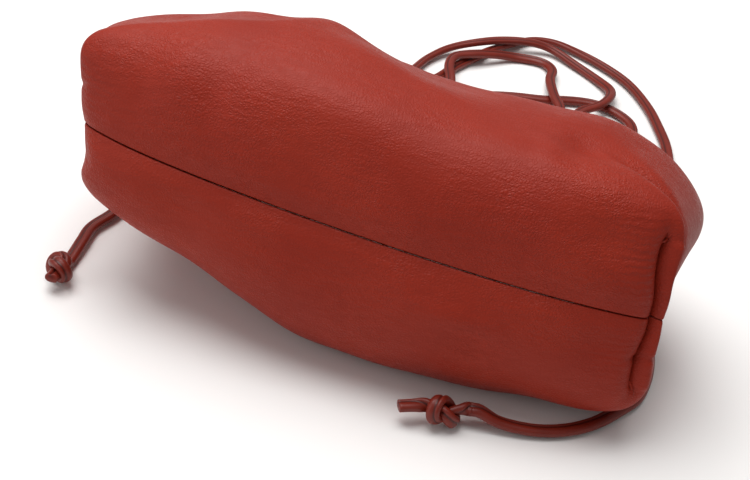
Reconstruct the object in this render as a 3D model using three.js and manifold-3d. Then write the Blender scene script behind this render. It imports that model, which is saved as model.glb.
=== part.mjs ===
// Cloud pouch bag: a small soft leather pouch lying on its back, with its knotted strap laid behind it.
// Millimetres, +Z up. X runs along the bottom seam, and the bottom of the pouch faces -Y.
import * as THREE from 'three';
import { mergeVertices } from 'three/addons/utils/BufferGeometryUtils.js';
import Module from 'manifold-3d';

const wasm = await Module();
wasm.setup();

// Driving dimensions of the leather body
const BODY_HALF_WIDTH = 112;
const BODY_HALF_THICKNESS = 50;
const BOTTOM_DEPTH = 64;
const BODY_LENGTH = 132;
const WALL = 1.8;
const SEAM_GAP = 0.3;
const MOUTH_HALF_WIDTH = 84;
const MOUTH_HALF_THICKNESS = 13;
const COLLAR = 9;

// How the body lies
const MOUTH_DROP = 17;
const END_DROP = 4;
const LEAN = 7;
const SEAM_HEIGHT = 61;
const FLOOR_ROUND = 5;

// Depths and widths of seams and gathers. The corner seam fades out between two shares of the half
// thickness, and the gathers between shares of the length and of the way to the mouth.
const SEAM_VALLEY = { depth: 1.4, width: 5 };
const CORNER_VALLEY = { depth: 4.5, width: 6, fades: 0.4, gone: 0.6 };
const GATHER = { depth: 2.4, count: 7, starts: 0.5, full: 0.8, fadesOver: 0.14, sideFade: 0.67 };

// The boxed corners stand out as ears, and the lower belly sags forwards
const EAR = { size: 7, spread: 0.35 };
const BELLY_SAG = { size: 3, fullAt: 0.6 };

// The end gusset: where it starts and is full, and how far down it reaches, as shares of the ball
const GUSSET = { starts: 0.5, full: 0.9, reach: 0.7 };
// Its bulge above the side seam and its fold along it: place and width across the gusset,
// and out as a share of the half thickness
const GUSSET_FOLDS = [
  { place: 0.5, width: 0.28, out: 0.16 },
  { place: -0.1, width: 0.25, out: -0.18 },
];

// The hidden frame in the mouth, with an eye for the strap at each end
const FRAME_CLEARANCE = 0.5;
const FRAME_WALL = 1.8;
const FRAME_OVER_FLOOR = 0.76;
const EYE_THICKNESS = 3;
const EYE_RIM = 3;
const EYE_CLEARANCE = 1;
const ROUND_STEPS = 8;

// The strap and its knots
const STRAP_DIAMETER = 5;
const STRAP_SIDES = 8;
const STRAP_STEP = 3 * STRAP_DIAMETER;
const STRAP_GAP = 0.3;
const EYE_STRAIGHT = 2 * STRAP_DIAMETER;
const KNOT_RADIUS = 3.8;
const KNOT_STUB = 0.7;
const KNOT_TURNS = 3;
const KNOT_STEPS = 12;
const KNOT_REACH = KNOT_RADIUS + STRAP_DIAMETER / 2 + KNOT_STUB;
const TAIL_RIGHT = 9;
const TAIL_LEFT = 3;

// Shapes of the plan and of the side view: higher numbers are boxier
const PLAN_BOX_X = 1.85;
const PLAN_BOX_Y = 1.2;
const SIDE_BOX = 3.4;

// How full the two sides are along the width: place as a share of the half width,
// front and back as shares of the half thickness
const FULLNESS = [
  { place: -1.0, front: 0.92, back: 0.62 },
  { place: -0.8, front: 0.92, back: 0.75 },
  { place: -0.5, front: 0.96, back: 0.98 },
  { place: -0.15, front: 1.00, back: 1.14 },
  { place: 0.25, front: 0.93, back: 1.14 },
  { place: 0.6, front: 0.96, back: 1.10 },
  { place: 0.85, front: 1.07, back: 1.08 },
  { place: 1.0, front: 1.04, back: 1.04 },
];

// Dents of the leather: side is 1 on the front and -1 on the back, across and along are shares of the
// half width and of the length, depth and the two radii are shares of the half thickness
const DENTS = [
  { side: 1, across: 0.55, along: 0.22, depth: 0.05, wide: 0.5, deep: 0.28 },
  { side: 1, across: -0.1, along: 0.6, depth: 0.06, wide: 0.7, deep: 0.4 },
  { side: -1, across: 0.8, along: 0.05, depth: 0.04, wide: 0.25, deep: 0.2 },
  { side: 1, across: -0.75, along: 0.42, depth: 0.05, wide: 0.3, deep: 0.5 },
];
// A dent fades out within this share of the half thickness from the seam
const DENT_FADE = 0.25;

// Steps of the coarse grid along the width, the length and the thickness
const GRID = { across: 14, along: 7, through: 4 };
const EDGE_CROWDING = 0.45;
const SAME_POINT = 1e-4;

const LEATHER = { color: 0x8f3b30, roughness: 0.55, metalness: 0 };
const STRAP_LEATHER = { color: 0x85352c, roughness: 0.5, metalness: 0 };
const BRASS = { color: 0xb08d57, roughness: 0.35, metalness: 1 };

function smooth(share) {
  const t = THREE.MathUtils.clamp(share, 0, 1);
  return t * t * (3 - 2 * t);
}

function boxed(share, amount) {
  return Math.tanh(amount * share) / Math.tanh(amount);
}

function bell(distance, width) {
  return Math.exp(-((distance / width) ** 2));
}

// A smooth curve through one column of the fullness table
function fullness(place, column) {
  const rows = FULLNESS;
  const x = THREE.MathUtils.clamp(place, rows[0].place, rows.at(-1).place);
  const i = Math.min(rows.findLastIndex((row) => row.place <= x), rows.length - 2);
  const slope = (k) => {
    if (k === 0 || k === rows.length - 1) return 0;
    return (rows[k + 1][column] - rows[k - 1][column]) / (rows[k + 1].place - rows[k - 1].place);
  };
  const span = rows[i + 1].place - rows[i].place;
  const t = (x - rows[i].place) / span;
  const rise = t * t * (3 - 2 * t);
  const start = t * (1 - t) * (1 - t);
  const end = t * t * (t - 1);
  return rows[i][column] * (1 - rise) + rows[i + 1][column] * rise
    + span * (slope(i) * start + slope(i + 1) * end);
}

// The grid's own shares, closer together towards the edges of the cube
function spread(share) {
  return THREE.MathUtils.lerp(share, Math.sin((share * Math.PI) / 2), EDGE_CROWDING);
}

// A point of the unit ball for a point (a, b, c) of the unit cube, evenly spread
function onBall(a, b, c) {
  const round = (p, q, r) => p * Math.sqrt(1 - (q * q) / 2 - (r * r) / 2 + (q * q * r * r) / 3);
  return new THREE.Vector3(round(a, b, c), round(b, a, c), round(c, a, b));
}

// Shares of the way from the widest place to the mouth: all of it, and up to the straight collar
const UPPER_LENGTH = BODY_LENGTH - BOTTOM_DEPTH;
const COLLAR_START = 1 - COLLAR / UPPER_LENGTH;

// The body before its mouth sinks, in its own frame: y is 0 at the bottom seam, z is 0 at the seams.
// a, b and c run from -1 to 1 along the width, from bottom to mouth, and from back to front.
function raisedForm(a, b, c) {
  const ball = onBall(a, Math.min(b, 0), c);
  const flat = Math.hypot(ball.x, ball.y);
  const reach = 1 / (Math.abs(ball.z) ** SIDE_BOX + flat ** SIDE_BOX) ** (1 / SIDE_BOX);
  const up = smooth(Math.max(b, 0) / COLLAR_START);
  const rounded = 1 - Math.cos((Math.min(Math.max(b, 0) / COLLAR_START, 1) * Math.PI) / 2);
  const halfWidth = THREE.MathUtils.lerp(BODY_HALF_WIDTH, MOUTH_HALF_WIDTH, up);
  const halfThickness = THREE.MathUtils.lerp(BODY_HALF_THICKNESS, MOUTH_HALF_THICKNESS, rounded);
  const side = flat > 0 ? ball.x / flat : 0;
  const down = flat > 0 ? ball.y / flat : 0;
  const point = new THREE.Vector3(
    halfWidth * boxed(side, PLAN_BOX_X) * flat * reach,
    b > 0 ? UPPER_LENGTH * b : BOTTOM_DEPTH * boxed(down, PLAN_BOX_Y) * flat * reach,
    halfThickness * ball.z * reach,
  );
  const column = point.z > 0 ? 'front' : 'back';
  point.z *= THREE.MathUtils.lerp(fullness(point.x / BODY_HALF_WIDTH, column), 1, up);

  const fromCorner = Math.hypot(Math.abs(a) - 1, b + 1, Math.abs(c) - 1);
  point.x += Math.sign(a) * EAR.size * bell(fromCorner, EAR.spread);
  const below = Math.min(Math.max(-ball.z, 0) / BELLY_SAG.fullAt, 1);
  const facing = Math.max(-ball.y, 0);
  point.y -= BELLY_SAG.size * Math.sin((below * Math.PI) / 2) * facing * (1 - ball.x ** 4);

  const inGusset = smooth((Math.abs(ball.x) - GUSSET.starts) / (GUSSET.full - GUSSET.starts))
    * (1 - smooth(-ball.y / GUSSET.reach)) * (1 - up);
  for (const fold of GUSSET_FOLDS) {
    const out = fold.out * BODY_HALF_THICKNESS * bell(ball.z - fold.place, fold.width);
    point.x += Math.sign(a) * inGusset * out;
  }
  point.y += BOTTOM_DEPTH;
  return { point, ball, up };
}

// The plain form of the body, with its mouth sunk
function plainForm(a, b, c) {
  const form = raisedForm(a, b, c);
  form.point.z -= MOUTH_SAG * form.up;
  return form;
}

// How far the surface lies under the plain form: seams, corner seams, dents and gathers
function depthAt(a, b, c, form) {
  const { point, ball, up } = form;
  const wayAlong = point.y / BODY_LENGTH;
  const offSeam = point.z + MOUTH_SAG * up;
  let depth = SEAM_VALLEY.depth * bell(offSeam, SEAM_VALLEY.width) * (1 - up);
  if (b <= 0) {
    const offCorner = (Math.abs(ball.x) + ball.y) * BODY_HALF_WIDTH * Math.SQRT1_2;
    const { fades, gone } = CORNER_VALLEY;
    const along = 1 - smooth((Math.abs(ball.z) - fades) / (gone - fades));
    depth += CORNER_VALLEY.depth * bell(offCorner, CORNER_VALLEY.width) * along;
  }
  for (const dent of DENTS) {
    if (Math.sign(c) !== dent.side) continue;
    const across = (point.x - dent.across * BODY_HALF_WIDTH) / (dent.wide * BODY_HALF_THICKNESS);
    const along = ((wayAlong - dent.along) * BODY_LENGTH) / (dent.deep * BODY_HALF_THICKNESS);
    const fade = smooth(Math.abs(ball.z) / DENT_FADE);
    depth += dent.depth * BODY_HALF_THICKNESS * bell(Math.hypot(across, along), 1) * fade;
  }
  const gathered = smooth((wayAlong - GATHER.starts) / (GATHER.full - GATHER.starts))
    * (1 - smooth(1 + (b - COLLAR_START) / GATHER.fadesOver));
  const turn = (point.x / BODY_HALF_WIDTH) * GATHER.count * Math.PI;
  const wave = (1 + Math.cos(turn)) / 2;
  depth += GATHER.depth * gathered * wave * smooth(Math.abs(c) / GATHER.sideFade);
  return depth;
}

// The frame of the body as it lies: mouth down, one end lower than the other
const LIE = new THREE.Matrix4()
  .makeRotationFromEuler(new THREE.Euler(
    -THREE.MathUtils.degToRad(MOUTH_DROP), THREE.MathUtils.degToRad(END_DROP), 0, 'YXZ'))
  .setPosition(0, 0, SEAM_HEIGHT);
const LEAN_SHARE = Math.tan(THREE.MathUtils.degToRad(LEAN));

// Leather below the floor is pressed flat onto it, with a soft round at the edge
function settle(z, round) {
  if (z >= round) return z;
  if (z <= -round) return 0;
  return (z + round) ** 2 / (4 * round);
}

function layDown(form) {
  const point = form.point.clone();
  point.x -= LEAN_SHARE * point.z * (1 - form.up);
  point.applyMatrix4(LIE);
  point.z = settle(point.z, FLOOR_ROUND * (1 - form.up));
  return point;
}

// The whole outer skin as one grid on the surface of a cube, open at the mouth.
// Returns the nodes of the grid, the triangles between them and the outward direction at each node.
function buildSkin() {
  const { across, along, through } = GRID;
  const nodes = [];
  const places = new Map();
  const nodeAt = (i, j, k) => {
    const key = `${i},${j},${k}`;
    if (!places.has(key)) {
      places.set(key, nodes.length);
      const a = spread(i / across);
      const b = j < 0 ? spread(j / along) : j / along;
      const c = spread(k / through);
      nodes.push({ i, j, k, a, b, c, form: plainForm(a, b, c) });
    }
    return places.get(key);
  };
  const faces = [];
  const quad = (p, q, r, s) => {
    const ids = [nodeAt(...p), nodeAt(...q), nodeAt(...r), nodeAt(...s)];
    faces.push([ids[0], ids[1], ids[2]], [ids[0], ids[2], ids[3]]);
  };
  for (let i = -across; i < across; i += 1) {
    for (let k = -through; k < through; k += 1) {
      quad([i, -along, k], [i + 1, -along, k], [i + 1, -along, k + 1], [i, -along, k + 1]);
    }
    for (let j = -along; j < along; j += 1) {
      quad([i, j, through], [i + 1, j, through], [i + 1, j + 1, through], [i, j + 1, through]);
      quad([i, j, -through], [i, j + 1, -through], [i + 1, j + 1, -through], [i + 1, j, -through]);
    }
  }
  for (let j = -along; j < along; j += 1) {
    for (let k = -through; k < through; k += 1) {
      quad([across, j, k], [across, j + 1, k], [across, j + 1, k + 1], [across, j, k + 1]);
      quad([-across, j, k], [-across, j, k + 1], [-across, j + 1, k + 1], [-across, j + 1, k]);
    }
  }
  const plainOutward = outwardOf(nodes.map((node) => node.form.point), faces);
  nodes.forEach((node, n) => {
    const depth = depthAt(node.a, node.b, node.c, node.form);
    const sunk = node.form.point.clone().addScaledVector(plainOutward[n], -depth);
    node.place = layDown({ ...node.form, point: sunk });
  });
  const outward = outwardOf(nodes.map((node) => node.place), faces);
  nodes.forEach((node, n) => { node.outward = outward[n]; });
  return { nodes, faces };
}

function meshGeometry(points, faces) {
  const geometry = new THREE.BufferGeometry().setFromPoints(points);
  geometry.setIndex(faces.flat());
  geometry.computeVertexNormals();
  return geometry;
}

// The outward direction at each point of a triangle mesh
function outwardOf(points, faces) {
  const normal = meshGeometry(points, faces).getAttribute('normal');
  return points.map((_, n) => new THREE.Vector3().fromBufferAttribute(normal, n));
}

// One panel of the skin as a closed leather wall: side is 1 for the front and -1 for the back
function panelGeometry(skin, side) {
  const seamUp = new THREE.Vector3(0, 0, 1).transformDirection(LIE).multiplyScalar(side * SEAM_GAP / 2);
  const kept = skin.faces.filter((face) => face.every((n) => skin.nodes[n].k * side >= 0));
  const outer = [];
  const inner = [];
  const renumber = new Map();
  const number = (n) => {
    if (!renumber.has(n)) {
      const node = skin.nodes[n];
      const shift = node.k === 0 ? seamUp : new THREE.Vector3();
      renumber.set(n, outer.length);
      outer.push(node.place.clone().add(shift));
      inner.push(node.place.clone().addScaledVector(node.outward, -WALL).add(shift));
    }
    return renumber.get(n);
  };
  const faces = kept.map((face) => face.map(number));
  const count = outer.length;
  const closed = [...faces];
  const edges = new Set();
  for (const [p, q, r] of faces) {
    closed.push([r + count, q + count, p + count]);
    for (const [from, to] of [[p, q], [q, r], [r, p]]) edges.add(`${from},${to}`);
  }
  for (const edge of edges) {
    const [from, to] = edge.split(',').map(Number);
    if (edges.has(`${to},${from}`)) continue;
    closed.push([to, from, from + count], [to, from + count, to + count]);
  }
  return meshGeometry([...outer, ...inner], closed);
}

// The outline of the mouth, as a closed ring of points round the end of the collar
function mouthOutline() {
  const { across, along, through } = GRID;
  const ring = [];
  for (let i = -across; i < across; i += 1) ring.push([i, through]);
  for (let k = through; k > -through; k -= 1) ring.push([across, k]);
  for (let i = across; i > -across; i -= 1) ring.push([i, -through]);
  for (let k = -through; k < through; k += 1) ring.push([-across, k]);
  return ring.reverse().map(([i, k]) => {
    const { point } = raisedForm(spread(i / across), 1, spread(k / through));
    return new THREE.Vector2(point.x, point.z);
  });
}

// An outline that turns anticlockwise, drawn in by the same distance all round
function drawnIn(outline, distance) {
  return outline.map((point, n) => {
    const before = outline.at(n - 1);
    const after = outline[(n + 1) % outline.length];
    const arriving = point.clone().sub(before).normalize();
    const leaving = after.clone().sub(point).normalize();
    const inwards = new THREE.Vector2(-arriving.y - leaving.y, arriving.x + leaving.x).normalize();
    const slant = inwards.dot(new THREE.Vector2(-leaving.y, leaving.x));
    return point.clone().addScaledVector(inwards, distance / slant);
  });
}

function toManifold(geometry) {
  const bare = geometry.clone();
  bare.deleteAttribute('normal');
  bare.deleteAttribute('uv');
  const merged = mergeVertices(bare, SAME_POINT);
  return new wasm.Manifold(new wasm.Mesh({
    numProp: 3,
    vertProperties: new Float32Array(merged.getAttribute('position').array),
    triVerts: new Uint32Array(merged.getIndex().array),
  }));
}

function fromManifold(solid) {
  const mesh = solid.getMesh();
  const geometry = new THREE.BufferGeometry();
  geometry.setAttribute('position', new THREE.BufferAttribute(new Float32Array(mesh.vertProperties), 3));
  geometry.setIndex(new THREE.BufferAttribute(new Uint32Array(mesh.triVerts), 1));
  geometry.computeVertexNormals();
  return geometry;
}

// Sizes of the frame and its eyes: each eye stands out sideways, just past the leather's edge
const EYE_BORE = STRAP_DIAMETER + 2 * EYE_CLEARANCE;
const EYE_OUTER = EYE_BORE + 2 * EYE_RIM;
const FRAME_INSET = WALL + FRAME_CLEARANCE;
const FRAME_END = BODY_LENGTH + FRAME_CLEARANCE + EYE_THICKNESS;
const EYE_X = MOUTH_HALF_WIDTH + FRAME_CLEARANCE + EYE_OUTER / 2;
const EYE_Y = FRAME_END - EYE_THICKNESS / 2;

// The mouth sinks until its frame all but lies on the floor, to the nearest tenth of a millimetre
function mouthSag() {
  const ring = drawnIn(mouthOutline(), FRAME_INSET);
  const heights = ring.map(({ x, y }) => new THREE.Vector3(x, FRAME_END, y).applyMatrix4(LIE).z);
  const upright = new THREE.Vector3(0, 0, 1).transformDirection(LIE).z;
  return Math.round(((Math.min(...heights) - FRAME_OVER_FLOOR) / upright) * 10) / 10;
}
const MOUTH_SAG = mouthSag();

// A plate or a band in the frame: its outline is drawn across the body, and it runs forward from the end
function acrossBody(shape, depth) {
  const options = { depth, bevelEnabled: false, curveSegments: ROUND_STEPS };
  const geometry = new THREE.ExtrudeGeometry(shape, options);
  geometry.rotateX(Math.PI / 2);
  geometry.translate(0, FRAME_END, 0);
  return toManifold(geometry);
}

// An oval ring inside the collar, standing out past the leather, with a bored lug at each end
function frameGeometry() {
  const outline = mouthOutline();
  const ring = new THREE.Shape(drawnIn(outline, FRAME_INSET));
  ring.holes.push(new THREE.Path(drawnIn(outline, FRAME_INSET + FRAME_WALL)));
  let solid = acrossBody(ring, FRAME_END - BODY_LENGTH + COLLAR);
  for (const side of [-1, 1]) {
    const root = side * (MOUTH_HALF_WIDTH - FRAME_INSET - FRAME_WALL / 2);
    const turn = side > 0 ? 0 : Math.PI;
    const half = (side * EYE_OUTER) / 2;
    const lug = new THREE.Shape();
    lug.moveTo(root, -half);
    lug.lineTo(side * EYE_X, -half);
    lug.absarc(side * EYE_X, 0, EYE_OUTER / 2, turn - Math.PI / 2, turn + Math.PI / 2, false);
    lug.lineTo(root, half);
    const bore = new THREE.Path();
    bore.absarc(side * EYE_X, 0, EYE_BORE / 2, 0, 2 * Math.PI, true);
    lug.holes.push(bore);
    solid = solid.add(acrossBody(lug, EYE_THICKNESS));
  }
  return fromManifold(solid);
}

// The sunken mouth as the bag lies
const MOUTH_LIE = LIE.clone().multiply(new THREE.Matrix4().makeTranslation(0, 0, -MOUTH_SAG));

// A place in line with an eye as the bag lies, at a distance in front of its middle
function eyePlace(side, ahead = 0) {
  return new THREE.Vector3(side * EYE_X, EYE_Y - ahead, 0).applyMatrix4(MOUTH_LIE);
}

// The strap's route over the floor, chosen by hand: left eye, back loops, right eye
const LOOPS_ROUTE = [
  [-83, 150, 15], [-66, 170, 7], [-47, 198, 3], [-33, 222, 3], [-28, 243, 3], [-20, 258, 5], [-7, 268, 8.5],
  [4, 276, 9], [17, 282, 8.5], [28, 285, 5], [42, 277, 3], [56, 266, 3], [64, 256, 5], [65, 243, 8.5],
  [61, 231, 9], [54, 223, 8], [51, 213, 4], [58, 204, 3], [70, 204, 3], [80, 214, 3], [79, 228, 3],
  [70, 237, 3], [59, 240, 3], [47, 237, 3], [35, 231, 3], [21, 227, 3], [8, 221, 3], [3, 212, 3],
  [9, 203, 3], [23, 199, 3], [38, 204, 4], [45, 217, 8], [39, 231, 9], [34, 249, 7], [33, 263, 4],
  [27, 270, 3], [12, 268, 3], [4, 262, 6], [-6, 253, 9], [-15, 245, 9], [-15, 233, 9], [-11, 221, 8],
  [-9, 206, 3], [-16, 198, 3], [-24, 204, 3], [-22, 216, 3], [-17, 228, 3], [-13, 242, 3], [-7, 255, 3],
  [-1, 269, 3], [8, 282, 3], [17, 293, 3], [28, 296, 3], [40, 292, 3], [55, 284, 3], [71, 271, 3],
  [84, 251, 3], [92, 232, 3], [98, 214, 3], [101, 190, 3], [95, 162, 4],
];
// From the left eye round the end to the left knot
const LEFT_ROUTE = [
  [-98, 106, 12], [-103, 90, 5], [-104, 70, 3], [-107, 46, 3], [-110, 34, 3], [-109, 24, 3.5],
];
// From the right eye round the end and along the front to the right knot
const RIGHT_ROUTE = [
  [100, 110, 6], [105, 94, 3], [107, 72, 3], [110, 50, 3], [110, 38, 3], [108, 27, 3], [103, 18, 3],
  [97, 9, 3], [90, 2, 3], [82, -3, 3], [74, -6, 3], [64, -8, 3.5],
];
const KNOT_LEFT = { place: [-107, 1, 7], along: [0.35, -0.9, 0.25], tail: TAIL_LEFT };
const KNOT_RIGHT = { place: [45, -12, 7], along: [-0.88, -0.48, 0], tail: TAIL_RIGHT };

const vector = (values) => new THREE.Vector3(...values);

function strapCurve(points) {
  return new THREE.CatmullRomCurve3(points, false, 'centripetal');
}

// A plain round cord along a curve
function cordGeometry(curve) {
  const section = new THREE.Shape();
  section.absarc(0, 0, STRAP_DIAMETER / 2, 0, 2 * Math.PI, false);
  return new THREE.ExtrudeGeometry(section, {
    steps: Math.round(curve.getLength() / STRAP_STEP),
    extrudePath: curve,
    bevelEnabled: false,
    curveSegments: STRAP_SIDES / 2,
  });
}

// The last point of a free end, where it meets its knot
function knotEntry(knot, from) {
  const place = vector(knot.place);
  const towards = vector(from).sub(place).normalize();
  return place.addScaledVector(towards, KNOT_REACH + STRAP_GAP);
}

// An overhand knot: a few turns of strap round a core, a stub that meets the cord and a cut tail
function knotGeometry(knot, from) {
  const place = vector(knot.place);
  const along = vector(knot.along).normalize();
  const entry = vector(from).sub(place).normalize();
  let solid = toManifold(new THREE.IcosahedronGeometry(KNOT_RADIUS, 1));
  for (let turn = 0; turn < KNOT_TURNS; turn += 1) {
    const ring = new THREE.TorusGeometry(KNOT_RADIUS, STRAP_DIAMETER / 2, STRAP_SIDES, KNOT_STEPS);
    ring.rotateX((turn * Math.PI) / KNOT_TURNS);
    ring.applyQuaternion(new THREE.Quaternion().setFromUnitVectors(new THREE.Vector3(1, 0, 0), along));
    solid = solid.add(toManifold(ring));
  }
  const reach = [[entry, KNOT_REACH], [along, KNOT_REACH + knot.tail]];
  for (const [direction, length] of reach) {
    const piece = new THREE.CylinderGeometry(STRAP_DIAMETER / 2, STRAP_DIAMETER / 2, length, STRAP_SIDES);
    piece.translate(0, length / 2, 0);
    piece.applyQuaternion(new THREE.Quaternion().setFromUnitVectors(new THREE.Vector3(0, 1, 0), direction));
    solid = solid.add(toManifold(piece));
  }
  const geometry = fromManifold(solid);
  geometry.translate(...place.toArray());
  return geometry;
}

function named(name, geometry, look) {
  const mesh = new THREE.Mesh(geometry, new THREE.MeshStandardMaterial(look));
  mesh.name = name;
  return mesh;
}

const skin = buildSkin();
const body = new THREE.Group();
const frame = named('mouth_frame', frameGeometry(), BRASS);
frame.applyMatrix4(MOUTH_LIE);
body.add(named('front_panel', panelGeometry(skin, 1), LEATHER));
body.add(named('back_panel', panelGeometry(skin, -1), LEATHER));
body.add(frame);

// The strap is one length, in three stretches that meet inside the eyes of the frame
const ends = [
  { side: -1, name: 'left', route: LEFT_ROUTE, knot: KNOT_LEFT },
  { side: 1, name: 'right', route: RIGHT_ROUTE, knot: KNOT_RIGHT },
];
const strap = new THREE.Group();
const throughEye = (side, sign) => [
  eyePlace(side, sign * STRAP_GAP / 2), eyePlace(side, sign * EYE_STRAIGHT),
];
const [leftInside, rightInside] = [-1, 1].map((side) => throughEye(side, -1));
strap.add(named('strap_loops', cordGeometry(strapCurve([
  ...leftInside, ...LOOPS_ROUTE.map(vector), ...rightInside.toReversed()])), STRAP_LEATHER));
for (const { side, name, route, knot } of ends) {
  const last = route.at(-1);
  const points = [...throughEye(side, 1), ...route.map(vector), knotEntry(knot, last)];
  strap.add(named(`strap_${name}_end`, cordGeometry(strapCurve(points)), STRAP_LEATHER));
  strap.add(named(`strap_${name}_knot`, knotGeometry(knot, last), STRAP_LEATHER));
}

// The origin lies on the floor under the middle of the body
const middle = new THREE.Box3().setFromObject(body, true).getCenter(new THREE.Vector3());
const object = new THREE.Group();
object.add(body, strap);
object.position.set(-middle.x, -middle.y, 0);
object.updateMatrixWorld(true);

export default object;
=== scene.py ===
"""Looks of a small soft leather pouch that lies on its back, with its knotted strap laid behind it.

Lengths are in millimetres while a shape is worked out, and become metres when its mesh is made.
"""

import logging
import math
from dataclasses import dataclass, field
from enum import Enum
from typing import Any, Iterable, Mapping, Optional, Sequence

import bmesh
import bpy
import numpy as np
from mathutils import Matrix, Vector

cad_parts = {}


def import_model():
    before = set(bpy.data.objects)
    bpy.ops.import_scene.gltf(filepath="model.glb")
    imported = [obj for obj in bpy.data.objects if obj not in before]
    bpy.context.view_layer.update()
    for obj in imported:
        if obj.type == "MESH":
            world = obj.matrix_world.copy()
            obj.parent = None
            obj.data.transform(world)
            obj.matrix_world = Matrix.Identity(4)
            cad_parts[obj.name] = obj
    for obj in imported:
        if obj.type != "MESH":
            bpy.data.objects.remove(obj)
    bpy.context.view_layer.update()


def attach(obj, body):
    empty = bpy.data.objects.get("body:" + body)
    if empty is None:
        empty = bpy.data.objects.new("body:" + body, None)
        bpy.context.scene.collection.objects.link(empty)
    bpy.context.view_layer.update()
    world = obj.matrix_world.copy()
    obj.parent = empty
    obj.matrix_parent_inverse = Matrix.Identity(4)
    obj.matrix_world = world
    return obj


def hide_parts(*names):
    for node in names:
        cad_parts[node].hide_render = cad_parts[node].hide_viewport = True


log = logging.getLogger("pouch")

Array = np.ndarray
Piece = bpy.types.Object
Finish = bpy.types.Material
Tree = bpy.types.NodeTree
Node = bpy.types.Node
Socket = bpy.types.NodeSocket
Faces = list[tuple[int, ...]]
Pair = tuple[float, float]
Spot = tuple[float, float, float]
Four = tuple[float, float, float, float]

MM = 0.001
BODY = "root"
# The bag's own frame is moved by this much, so that the origin is under the middle of the body
ROW_SHIFT = np.array([2.5347, -60.8286, 0.0])
UP = np.array([0, 0, 1.0])


class Side(Enum):
    """The two panels of the pouch: the one on top as it lies, and the one that it lies on."""

    FRONT = 1
    BACK = -1


# Small maths


def smooth(share: Array) -> Array:
    """Eases a share from 0 to 1."""
    t = np.clip(share, 0.0, 1.0)
    return t * t * (3 - 2 * t)


def boxed(share: Array, amount: float) -> Array:
    """Fills a round share out towards a box; a higher amount is boxier."""
    return np.tanh(amount * share) / math.tanh(amount)


def bell(distance: Array, width: float) -> Array:
    """A bell curve of height 1."""
    return np.exp(-((distance / width) ** 2))


def lerp(start: Any, end: Any, share: Any) -> Any:
    """Blends from start to end."""
    return start + (end - start) * share


def unit(vectors: Array) -> Array:
    """Vectors of length 1, of one vector or of rows of them."""
    length = np.linalg.norm(vectors, axis=-1, keepdims=True)
    return vectors / np.maximum(length, 1e-9)


def waves(points: Array, length: float, count: int, seed: int) -> Array:
    """A soft random field made of a few plane waves.

    Args:
        points: Places, one a row.
        length: The usual wavelength.
        count: How many waves are summed.
        seed: Start of the random numbers, so that each run gives the same field.

    Returns:
        A value from about -1 to 1 for each place.
    """
    rng = np.random.default_rng(seed)
    total = np.zeros(len(points))
    for _ in range(count):
        heading = unit(rng.normal(size=3))
        stride = length * rng.uniform(0.7, 1.5)
        total += np.sin(points @ heading * (2 * math.pi / stride) + rng.uniform(0, 2 * math.pi))
    return total / math.sqrt(count)


def run_lengths(line: Array) -> Array:
    """How far along a line each of its places is."""
    return np.concatenate([[0], np.cumsum(np.linalg.norm(np.diff(line, axis=0), axis=1))])


def resampled(line: Array, step: float) -> Array:
    """A line with its places evenly spaced, about a step apart."""
    way = run_lengths(line)
    even = np.linspace(0, way[-1], max(int(round(way[-1] / step)), 2) + 1)
    return np.stack([np.interp(even, way, line[:, axis]) for axis in range(3)], 1)


def soften(line: Array, rounds: int, kept: int = 1) -> None:
    """Evens out a line in place, apart from the places kept at each end."""
    first, last = kept, len(line) - kept
    for _ in range(rounds):
        line[first:last] = (line[first - 1 : last - 1] + 2 * line[first:last] + line[first + 1 : last + 1]) / 4


def spline(points: Array, step: float) -> Array:
    """A centripetal spline through points, resampled evenly, about a step apart."""
    ends = np.concatenate([[2 * points[0] - points[1]], points, [2 * points[-1] - points[-2]]])
    line = []
    t = np.linspace(0, 1, 24, endpoint=False)[:, None]
    for p0, p1, p2, p3 in zip(ends, ends[1:], ends[2:], ends[3:]):
        d0, d1, d2 = (math.sqrt(max(np.linalg.norm(q - p), 1e-4)) for p, q in ((p0, p1), (p1, p2), (p2, p3)))
        start = ((p1 - p0) / d0 - (p2 - p0) / (d0 + d1) + (p2 - p1) / d1) * d1
        end = ((p2 - p1) / d1 - (p3 - p1) / (d1 + d2) + (p3 - p2) / d2) * d1
        square, cube = 3 * (p2 - p1) - 2 * start - end, 2 * (p1 - p2) + start + end
        line.append(p1 + start * t + square * t**2 + cube * t**3)
    return resampled(np.concatenate([*line, points[-1:]]), step)


# Meshes


def link(name: str, data: Any) -> Piece:
    """Puts a new object with this data in the scene."""
    made = bpy.data.objects.new(name, data)
    bpy.context.scene.collection.objects.link(made)
    return made


def mesh_object(name: str, points: Array, faces: Iterable[Sequence[int]], finish: Finish) -> Piece:
    """Makes a smooth mesh piece from points in the row frame.

    Args:
        name: The piece's name.
        points: Places in millimetres.
        faces: Point numbers of each face, turning so that it faces out.
        finish: The material.

    Returns:
        The object, at the origin.
    """
    mesh = bpy.data.meshes.new(name)
    mesh.from_pydata((np.asarray(points) * MM).tolist(), [], [tuple(map(int, face)) for face in faces])
    mesh.materials.append(finish)
    mesh.shade_smooth()
    mesh.update()
    return link(name, mesh)


def mark(piece: Piece, name: str, values: Array) -> None:
    """Gives each point of a piece a number that its material reads."""
    layer = piece.data.attributes.new(name, "FLOAT", "POINT")
    layer.data.foreach_set("value", values.astype(np.float32))


def face_out(piece: Piece) -> None:
    """Turns a closed piece's faces outwards."""
    made = bmesh.new()
    made.from_mesh(piece.data)
    bmesh.ops.remove_doubles(made, verts=made.verts, dist=1e-7)
    bmesh.ops.recalc_face_normals(made, faces=made.faces)
    made.to_mesh(piece.data)
    made.free()


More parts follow.
